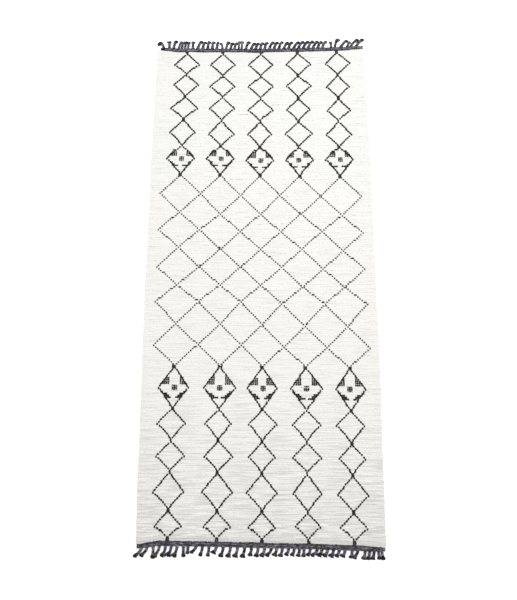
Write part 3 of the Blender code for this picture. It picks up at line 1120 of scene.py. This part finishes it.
# The tassels, a row for each bunch that lies together, as in the solids: how many, the places of
# its outer roots across the rug, how far its middle tip lies to +X of its middle root, the share by
# which its tips draw together, its length past the band, the width of its tufts and the share of
# its length by which a tip curls back to the band
bunchNames = ("count", "from", "to", "lean", "close", "reach", "tuft", "drop")
bunches = {
    "near": (
        (2, -0.719, -0.686, -0.042, -0.15, 0.055, 0.023),
        (2, -0.649, -0.611, -0.016, 0.75, 0.069, 0.025),
        (3, -0.575, -0.505, -0.020, 0.00, 0.064, 0.031),
        (1, -0.467, -0.467, 0.000, 0.00, 0.066, 0.024),
        (1, -0.439, -0.439, -0.005, 0.00, 0.043, 0.021),
        (1, -0.390, -0.390, -0.033, 0.00, 0.040, 0.021),
        (2, -0.352, -0.313, -0.010, -0.20, 0.060, 0.023),
        (1, -0.267, -0.267, -0.022, 0.00, 0.042, 0.030),
        (4, -0.226, -0.097, -0.017, 0.00, 0.059, 0.031),
        (4, -0.056, 0.064, -0.020, 0.15, 0.051, 0.028),
        (2, 0.096, 0.130, -0.015, 0.00, 0.050, 0.029),
        (2, 0.168, 0.202, -0.017, 0.00, 0.043, 0.025),
        (2, 0.233, 0.261, -0.007, 0.00, 0.048, 0.025),
        (2, 0.299, 0.341, -0.027, 0.30, 0.042, 0.023),
        (5, 0.369, 0.508, -0.021, -0.05, 0.043, 0.031),
        (2, 0.550, 0.584, -0.017, 0.50, 0.047, 0.027),
        (3, 0.628, 0.682, -0.010, 0.00, 0.049, 0.028),
        (2, 0.708, 0.729, 0.007, 0.00, 0.049, 0.024),
    ),
    "far": (
        (1, -0.711, -0.711, -0.038, 0.00, 0.051, 0.020, 0.45),
        (2, -0.668, -0.637, 0.005, -0.60, 0.054, 0.028),
        (4, -0.602, -0.531, 0.017, 0.20, 0.054, 0.024),
        (1, -0.496, -0.496, 0.001, 0.00, 0.056, 0.033),
        (3, -0.462, -0.388, 0.018, 0.25, 0.053, 0.024),
        (2, -0.355, -0.321, 0.009, 0.05, 0.054, 0.024),
        (1, -0.279, -0.279, -0.014, 0.00, 0.043, 0.022),
        (1, -0.253, -0.253, 0.016, 0.00, 0.048, 0.033),
        (2, -0.221, -0.192, 0.016, 0.00, 0.044, 0.026),
        (2, -0.161, -0.139, 0.006, 0.00, 0.061, 0.023),
        (1, -0.109, -0.109, 0.021, 0.00, 0.048, 0.033),
        (4, -0.071, 0.029, 0.021, 0.10, 0.044, 0.026),
        (3, 0.062, 0.132, 0.027, 0.10, 0.051, 0.023),
        (2, 0.168, 0.203, 0.026, 0.15, 0.044, 0.026),
        (5, 0.239, 0.381, 0.037, 0.00, 0.049, 0.024),
        (2, 0.417, 0.450, 0.028, 0.05, 0.042, 0.022),
        (1, 0.516, 0.516, -0.004, 0.00, 0.041, 0.020),
        (1, 0.542, 0.542, 0.022, 0.00, 0.057, 0.033),
        (1, 0.584, 0.584, 0.052, 0.00, 0.053, 0.020),
        (1, 0.631, 0.631, 0.026, 0.00, 0.039, 0.016),
        (2, 0.657, 0.698, 0.052, 0.10, 0.054, 0.027),
    ),
}


def placeTassels(end):
    look = tasselLook
    rng = random.Random(look["seed"][end])
    tassels = []
    for bunch in tableRows(bunchNames, bunches[end]):
        middle = (bunch["from"] + bunch["to"]) / 2.0
        gaps = max(1, bunch["count"] - 1)
        for number in range(bunch["count"]):
            root = bunch["from"] + (bunch["to"] - bunch["from"]) * number / gaps
            lean = bunch["lean"] + rng.uniform(-look["leanSpread"], look["leanSpread"])
            tip = middle + lean + (root - middle) * (1.0 - bunch["close"])
            tassels.append({
                "root": root + middleX,
                "tip": tip + middleX,
                "reach": bunch["reach"] + rng.uniform(-look["reachSpread"], look["reachSpread"]),
                "tuft": bunch["tuft"] * look["tuftGrowth"][end],
                "drop": bunch.get("drop", 0.0),
                # tips drawn close together lie over each other as one tuft
                "bunch": bunch if bunch["close"] > look["together"] else None,
            })
    for number, tassel in enumerate(tassels):
        others = tassels[max(0, number - 1):number] + tassels[number + 1:number + 2]
        bunch = tassel["bunch"]
        apart = [other for other in others if other["bunch"] is None or other["bunch"] is not bunch]
        room = min(abs(tassel["tip"] - other["tip"]) for other in apart)
        rootRoom = min(abs(tassel["root"] - other["root"]) for other in others) * look["rootShare"]
        fits = (rootRoom - look["plyThickness"]) / (2.0 * look["plyOrbit"][end]) - 1.0
        tassel["spread"] = max(look["rootTight"], min(look["rootSpread"][end], fits))
        tassel["tuft"] = min(tassel["tuft"], max(look["stemWidth"], look["tuftShare"] * room))
    return tassels


def curvePoint(route, share):
    # the place and the direction at a share of a curve with two pulls
    rest = 1.0 - share
    weights = (rest ** 3, 3.0 * rest ** 2 * share, 3.0 * rest * share ** 2, share ** 3)
    x, y = [sum(w * p[axis] for w, p in zip(weights, route)) for axis in (0, 1)]
    slopes = (rest ** 2, 2.0 * rest * share, share ** 2)
    dx, dy = [sum(w * (b[axis] - a[axis]) for w, a, b in zip(slopes, route, route[1:])) for axis in (0, 1)]
    size = math.hypot(dx, dy)
    return x, y, dx / size, dy / size


def beside(spot, side, high, shift=0.0):
    # a place to the left of a curve's spot, and shifted along the curve
    x, y, alongX, alongY = spot
    return x + alongX * shift - alongY * side, y + alongY * shift + alongX * side, high


def stemRoutes(end, route, spread, rng):
    # plies twisted round the tassel's own line, which lies on the floor
    look = tasselLook
    orbit = look["plyOrbit"][end]
    middle = orbit * look["plyFlat"] + look["plyThickness"] / 2.0
    phase = rng.uniform(0.0, 2.0 * math.pi)
    made = []
    for ply in range(look["plies"]):
        made.append([])
        for share in shareSteps(look["plyPoints"]):
            spot = curvePoint(route, share * look["stemShare"][end])
            turn = phase + 2.0 * math.pi * (ply / look["plies"] + look["plyTurns"] * share)
            side = math.cos(turn) * orbit * (1.0 + spread * (1.0 - share))
            lift = math.sin(turn) * orbit * look["plyFlat"]
            swell = 1.0 - look["plyWaist"] * math.sin(math.pi * share)
            made[-1].append((beside(spot, side, middle + lift), swell))
    return made


def knotRoute(end, route, rng):
    look = tasselLook
    spot = curvePoint(route, look["stemShare"][end] - look["knotBack"])
    phase = rng.uniform(0.0, 2.0 * math.pi)
    centre = look["knotRadius"] + look["knotYarn"] / 2.0
    line = []
    for share in shareSteps(look["knotPoints"]):
        turn = phase + 2.0 * math.pi * look["knotTurns"] * share
        shift = (share - 0.5) * look["knotYarn"] * look["knotPitch"]
        lift = math.sin(turn) * look["knotRadius"]
        line.append((beside(spot, math.cos(turn) * look["knotRadius"], centre + lift, shift), 1.0))
    return line


def tuftRoutes(end, route, tuft, rng):
    # loose yarn ends that fan out past the knot and settle on the floor
    look = tasselLook
    first = look["stemShare"][end] - look["tuftBack"]
    half = tuft / 2.0 - look["yarnThickness"] / 2.0
    neck = look["tuftNeck"]
    low = look["yarnThickness"] * 0.5
    made = []
    for yarn in range(look["yarns"]):
        stray = rng.uniform(-look["yarnStray"], look["yarnStray"])
        spread = 2.0 * (yarn + 0.5) / look["yarns"] - 1.0 + stray
        layer = rng.uniform(0.0, 1.0)
        length = 1.0 - look["roundLength"] * abs(spread) + rng.uniform(*look["yarnLengths"])
        made.append([])
        for share in shareSteps(look["yarnPoints"]):
            spot = curvePoint(route, min(1.0, first + (1.0 - first) * share * length))
            fan = min(1.0, share * look["tuftFan"][end])
            wave = look["yarnWave"] * math.sin(5.0 * share + 9.0 * layer)
            side = spread * (neck + (half - neck) * fan) + wave
            high = look["tuftHeight"] - look["tuftFall"] * share
            lift = low + (high - low) * layer * (1.0 - look["roundHeight"] * share * abs(spread))
            made[-1].append((beside(spot, side, lift), 1.0 - look["yarnThinning"] * share))
    return made


def makeTassels(end):
    look = tasselLook
    outward = -1.0 if end == "near" else 1.0
    rng = random.Random(look["seed"][end] + 100)
    plies, knots, yarns = [], [], []
    for tassel in placeTassels(end):
        root, tip, reach = tassel["root"], tassel["tip"], tassel["reach"]
        edge = bandPlace(end, root, 1.0)
        lean = tip - root
        curl = math.copysign(look["hook"][end] * min(1.0, abs(lean) / look["hookLean"]), lean)
        first, second, third = [edge + outward * reach * share for share in look["route"][end]]
        third -= outward * reach * tassel["drop"]
        start = edge - outward * look["rootInset"]
        slant = max(0.0, lean) * look["slant"][end]
        route = ((root, start), (root + slant, first), (tip - curl, second), (tip, third))
        plies += stemRoutes(end, route, tassel["spread"], rng)
        knots.append(knotRoute(end, route, rng))
        yarns += tuftRoutes(end, route, tassel["tuft"], rng)
    return joinPieces(end + "Tassels", [
        sweepRoutes(end + "Stems", plies, look["plySides"], look["plyThickness"], charcoal),
        sweepRoutes(end + "Knots", knots, look["yarnSides"], look["knotYarn"], charcoal),
        sweepRoutes(end + "Tufts", yarns, look["yarnSides"], look["yarnThickness"], tuftCharcoal),
    ])


tassels = {"near": makeTassels("near"), "far": makeTassels("far")}
print("tassels tied")


# the rug is one body: the ground cloth and all the rest go on it
dressing = [*pilePieces, chartKnots, selvedges, *bands.values(), *tassels.values()]
for piece in [cloth, *dressing]:
    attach(piece, "root")
for piece in [cloth, *pilePieces, selvedges, chartKnots]:
    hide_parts("rug_pile")
for end in ("near", "far"):
    for piece in (bands[end], tassels[end]):
        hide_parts("end_band_" + end)
for piece in [cloth, *dressing]:
    print(piece.name, sum(len(face.vertices) - 2 for face in piece.data.polygons), "triangles")


studio = {
    "floorSize": 60.0,
    "floorHeight": -0.0002,
    "floorColour": (0.93, 0.93, 0.93),
    "floorGrain": 0.985,
    "skyColour": (1.0, 1.0, 1.0),
    "skyStrength": 0.85,
    "softboxSize": 5.0,
    "softboxPlace": (0.6, 2.4, 4.6),
    "softboxAim": (0.0, 0.4, 0.0),
    "softboxPower": 420.0,
}


def makeFloor():
    half = studio["floorSize"] / 2.0
    ring = ((-half, -half), (half, -half), (half, half), (-half, half))
    floor = meshObject("floor", [(*corner, studio["floorHeight"]) for corner in ring], [(0, 1, 2, 3)])
    paint = Painter("paleFloor", shine=0.1)
    paint.give("Roughness", 0.9)
    grain = paint.spread(paint.noise(30.0), 0.3, 0.7)
    low = tuple(c * studio["floorGrain"] for c in studio["floorColour"])
    paint.give("Base Color", paint.blend(grain, low, studio["floorColour"]))
    floor.data.materials.append(paint.material)


def makeLight():
    world = bpy.data.worlds.new("studioSky")
    world.use_nodes = True
    sky = world.node_tree.nodes["Background"]
    sky.inputs["Color"].default_value = (*studio["skyColour"], 1.0)
    sky.inputs["Strength"].default_value = studio["skyStrength"]
    bpy.context.scene.world = world
    light = bpy.data.lights.new("softbox", "AREA")
    light.shape = "SQUARE"
    light.size = studio["softboxSize"]
    light.energy = studio["softboxPower"]
    box = addObject("softbox", light)
    box.location = studio["softboxPlace"]
    away = Vector(studio["softboxPlace"]) - Vector(studio["softboxAim"])
    box.rotation_euler = away.to_track_quat("Z", "Y").to_euler()
    box.visible_camera = False


# the camera stands over the near end and looks down along the rug
cameraLook = {
    "place": (-0.0023, -0.8043, 3.233),
    "pitch": 79.07,
    "yaw": 0.62,
    "roll": -0.60,
    "focalPixels": 497.2,
    "framePixels": 600.0,
    "sensor": 36.0,
}


def makeCamera():
    data = bpy.data.cameras.new("photoCamera")
    data.sensor_fit = "AUTO"
    data.sensor_width = cameraLook["sensor"]
    data.lens = cameraLook["focalPixels"] * cameraLook["sensor"] / cameraLook["framePixels"]
    camera = addObject("photoCamera", data)
    camera.location = cameraLook["place"]
    turn = Matrix.Rotation(math.radians(cameraLook["yaw"]), 3, "Z")
    turn = turn @ Matrix.Rotation(math.radians(90.0 - cameraLook["pitch"]), 3, "X")
    turn = turn @ Matrix.Rotation(math.radians(cameraLook["roll"]), 3, "Z")
    camera.rotation_euler = turn.to_euler()
    bpy.context.scene.camera = camera


makeFloor()
makeLight()
makeCamera()
bpy.context.scene.view_settings.view_transform = "Standard"
print("studio lit")
